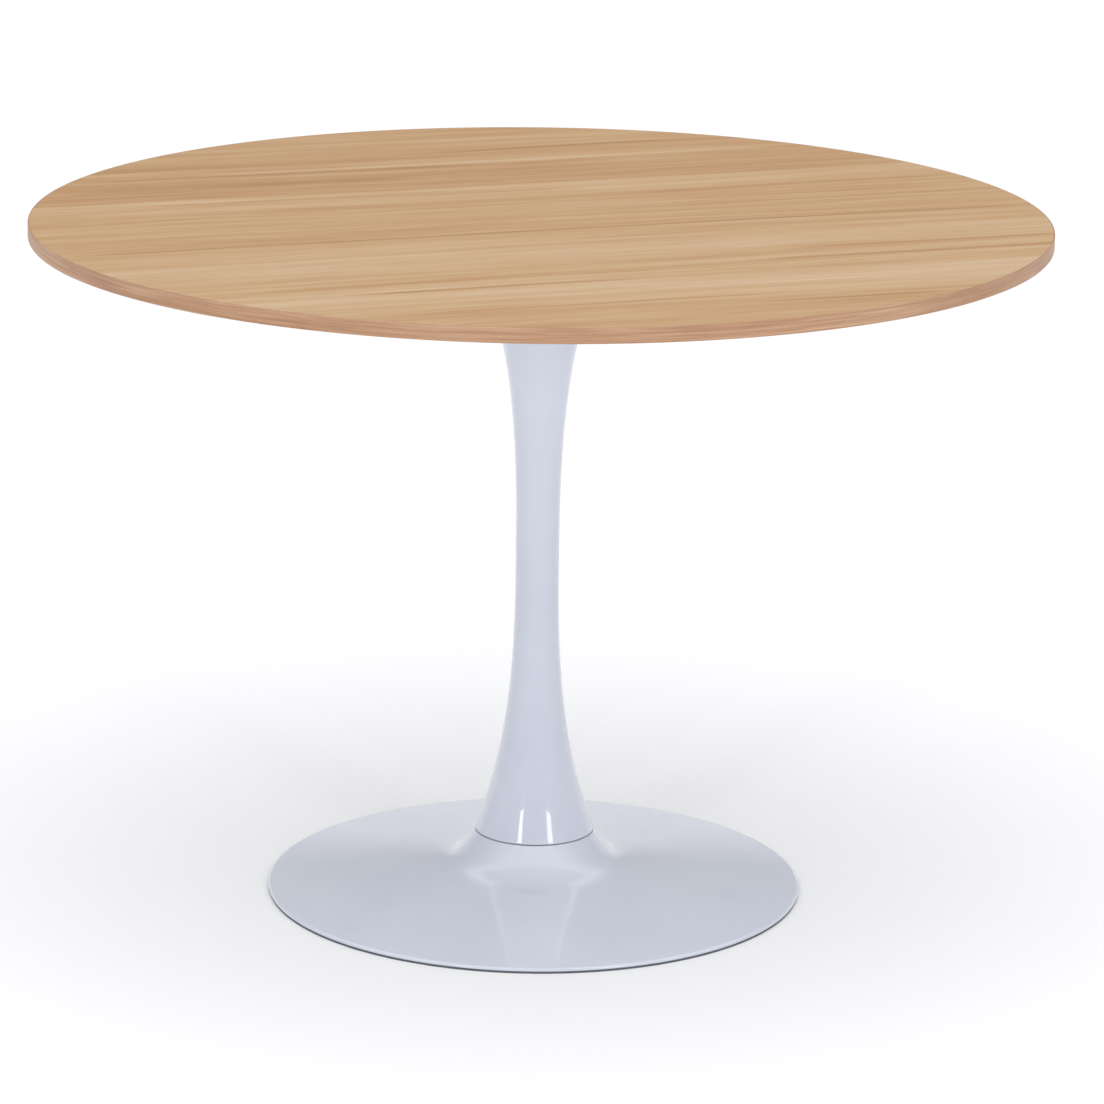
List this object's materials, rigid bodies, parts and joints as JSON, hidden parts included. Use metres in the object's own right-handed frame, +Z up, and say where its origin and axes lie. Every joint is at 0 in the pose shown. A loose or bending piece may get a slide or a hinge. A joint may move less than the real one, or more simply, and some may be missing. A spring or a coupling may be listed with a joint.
{
  "type": "round pedestal table",
  "caption": "Round pedestal dining table: thin wood-effect top on a waisted white column with a trumpet foot.",
  "frame": {"origin": "centre of the footprint, on the floor", "axes": "+Z up along the column's axis; +X and +Y level, at 45 degrees to the spider's arms"},
  "size_m": [1.1, 1.1, 0.755],
  "materials": {
    "wood_veneer": "satin",
    "fibreboard": "matte",
    "white_melamine": "satin",
    "white_paint": "gloss",
    "grey_plastic": "matte",
    "rubber": "matte",
    "cast_iron": "matte",
    "zinc_steel": "satin"
  },
  "bodies": {
    "root": {"tabletop_core": "fibreboard", "tabletop_face_veneer": "wood_veneer", "tabletop_backing_sheet": "white_melamine", "tabletop_edge_band": "wood_veneer", "spider_hub": "white_paint", "column_shell": "white_paint", "column_gasket": "grey_plastic", "base_shell": "white_paint", "base_rubber_ring": "rubber", "ballast_casting": "cast_iron", "tie_rod": "zinc_steel", "top_washer": "zinc_steel", "top_spring_washer": "zinc_steel", "top_nut": "zinc_steel", "bottom_plate_washer": "zinc_steel", "bottom_spring_washer": "zinc_steel", "bottom_nut": "zinc_steel", "spider_arm_1": "white_paint", "spider_arm_2": "white_paint", "spider_arm_3": "white_paint", "spider_arm_4": "white_paint", "insert_nut_1": "zinc_steel", "top_screw_1": "zinc_steel", "insert_nut_2": "zinc_steel", "top_screw_2": "zinc_steel", "insert_nut_3": "zinc_steel", "top_screw_3": "zinc_steel", "insert_nut_4": "zinc_steel", "top_screw_4": "zinc_steel", "insert_nut_5": "zinc_steel", "top_screw_5": "zinc_steel", "insert_nut_6": "zinc_steel", "top_screw_6": "zinc_steel", "insert_nut_7": "zinc_steel", "top_screw_7": "zinc_steel", "insert_nut_8": "zinc_steel", "top_screw_8": "zinc_steel"}
  },
  "joints": []
}
